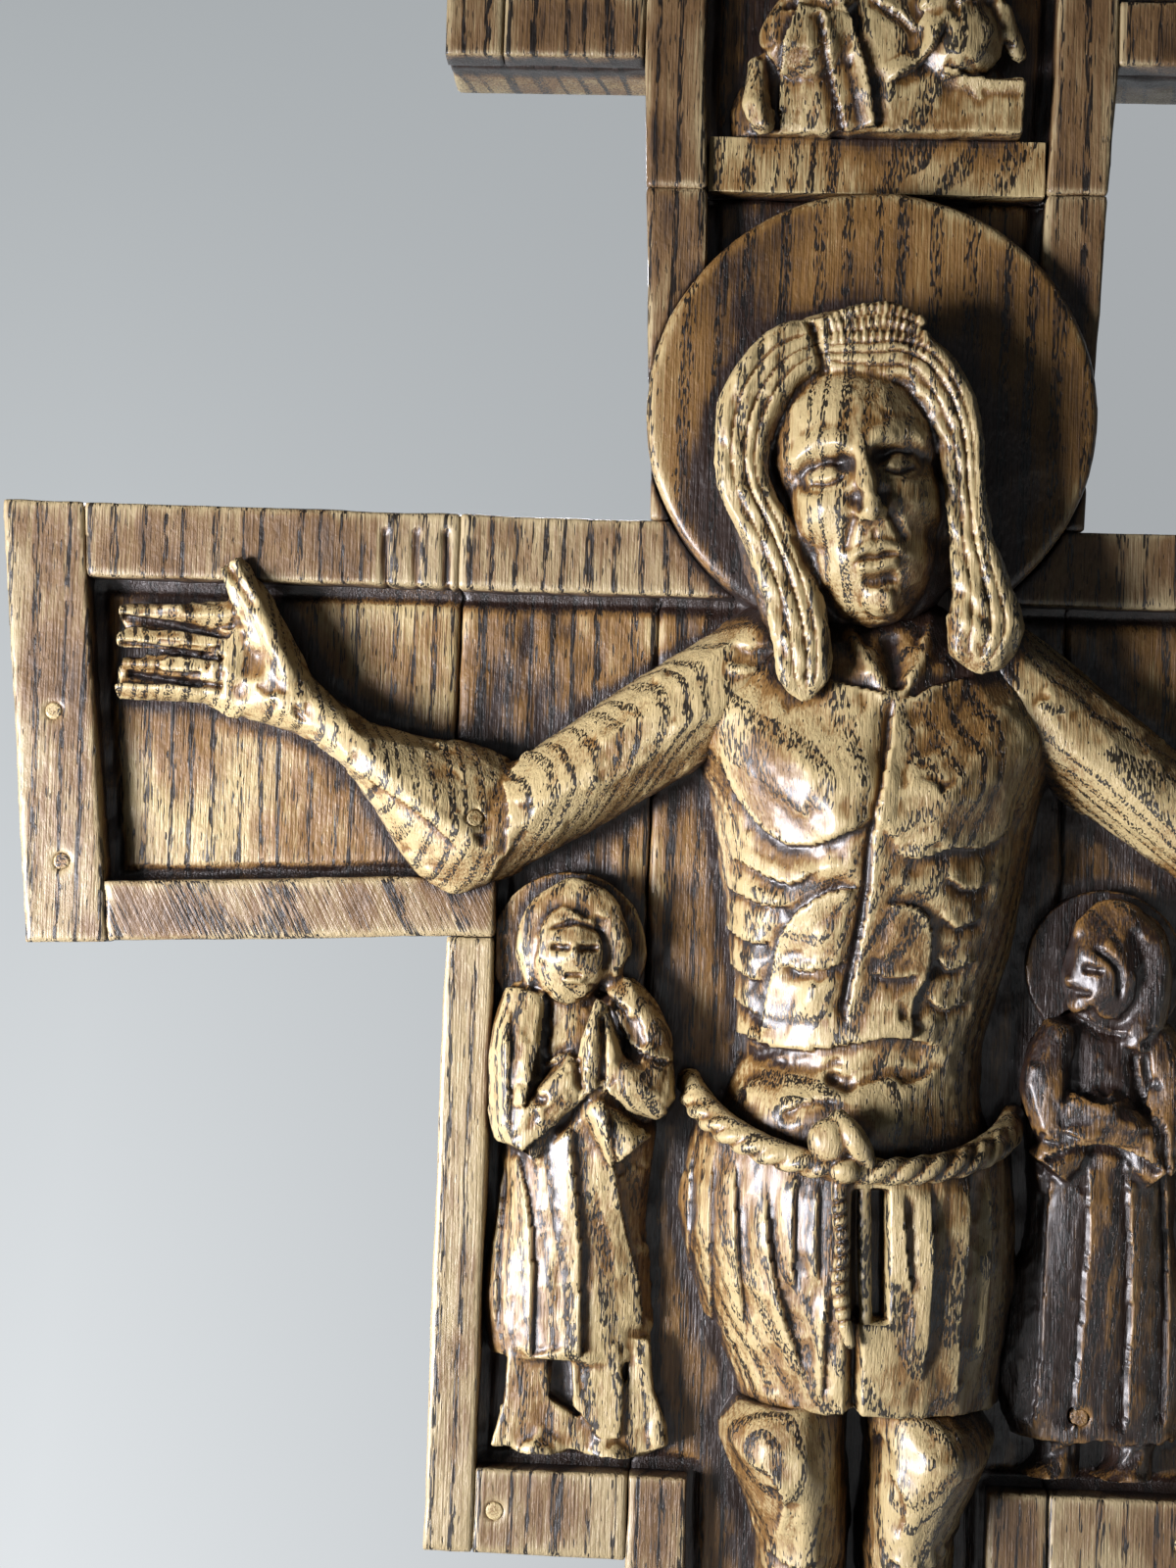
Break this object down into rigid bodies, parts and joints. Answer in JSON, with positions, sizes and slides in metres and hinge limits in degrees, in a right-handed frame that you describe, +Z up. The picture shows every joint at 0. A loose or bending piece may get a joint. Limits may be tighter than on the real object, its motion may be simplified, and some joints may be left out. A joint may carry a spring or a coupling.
{
  "type": "wall crucifix",
  "caption": "Carved and stained oak wall crucifix of painted-cross outline, with sunk panels behind face rails, a haloed corpus, side attendants and a hinged hanging ring on the back.",
  "frame": {"origin": "on the flat back of the upright, at mid height of the arms and on the cross's centre line", "axes": "+X to the viewer's right, +Y into the wall behind the cross, +Z up the upright; the carved face looks along -Y"},
  "size_m": [0.358, 0.0525, 0.52],
  "materials": {
    "stave_oak": "stained oak boards under a semi-gloss varnish",
    "rail_oak": "stained oak strips, worn lighter on the edges, semi-gloss varnish",
    "carved_oak": "hand-carved oak, dark stain in the hollows, semi-gloss varnish",
    "peg_oak": "end-grain oak pegs cut flush",
    "dowel_wood": "plain hardwood dowels",
    "hanger_brass": "plain brass, slightly tarnished",
    "screw_steel": "plain steel screw"
  },
  "bodies": {
    "cross": {"apron_bottom_rail_left": "rail_oak", "apron_bottom_rail_right": "rail_oak", "apron_side_rail_left": "rail_oak", "apron_side_rail_right": "rail_oak", "arm_bottom_rail_left": "rail_oak", "arm_bottom_rail_right": "rail_oak", "arm_end_rail_left": "rail_oak", "arm_end_rail_right": "rail_oak", "arm_top_rail_inner_left": "rail_oak", "arm_top_rail_inner_right": "rail_oak", "arm_top_rail_outer_left": "rail_oak", "arm_top_rail_outer_right": "rail_oak", "attendant_halo_left": "carved_oak", "attendant_halo_right": "carved_oak", "attendant_left": "carved_oak", "attendant_right": "carved_oak", "bar_bottom_rail_left": "rail_oak", "bar_bottom_rail_right": "rail_oak", "bar_end_rail_left": "rail_oak", "bar_end_rail_right": "rail_oak", "bar_stave_left": "stave_oak", "bar_stave_right": "stave_oak", "belt_tail": "carved_oak", "corpus_arm_left": "carved_oak", "corpus_arm_right": "carved_oak", "corpus_head": "carved_oak", "corpus_leg_left": "carved_oak", "corpus_leg_right": "carved_oak", "corpus_torso": "carved_oak", "figure_dowels": "dowel_wood", "foot_rail": "rail_oak", "footrest": "carved_oak", "halo": "carved_oak", "hanger_screw": "screw_steel", "hanger_strap": "hanger_brass", "inner_stave_left": "stave_oak", "inner_stave_right": "stave_oak", "loincloth": "carved_oak", "neck_corner_left": "rail_oak", "neck_corner_right": "rail_oak", "neck_rail_lower_left": "rail_oak", "neck_rail_lower_right": "rail_oak", "neck_rail_upper_left": "rail_oak", "neck_rail_upper_right": "rail_oak", "outer_stave_left": "stave_oak", "outer_stave_right": "stave_oak", "pegs": "peg_oak", "rope_belt": "carved_oak", "seat_ledge": "rail_oak", "shaft_rail_left": "rail_oak", "shaft_rail_right": "rail_oak", "stave_dowels": "dowel_wood", "top_block": "stave_oak", "top_figure": "carved_oak", "top_figure_halo": "carved_oak", "top_rail": "rail_oak", "upright_stave": "stave_oak"},
    "hanger_ring": {"hanger_ring": "hanger_brass"}
  },
  "joints": [
    {"name": "ring_swing", "type": "hinge", "parent": "cross", "child": "hanger_ring", "pos_m": [0, -0.0029, 0.16], "axis": [1, 0, 0], "range_deg": [0, 180]}
  ]
}
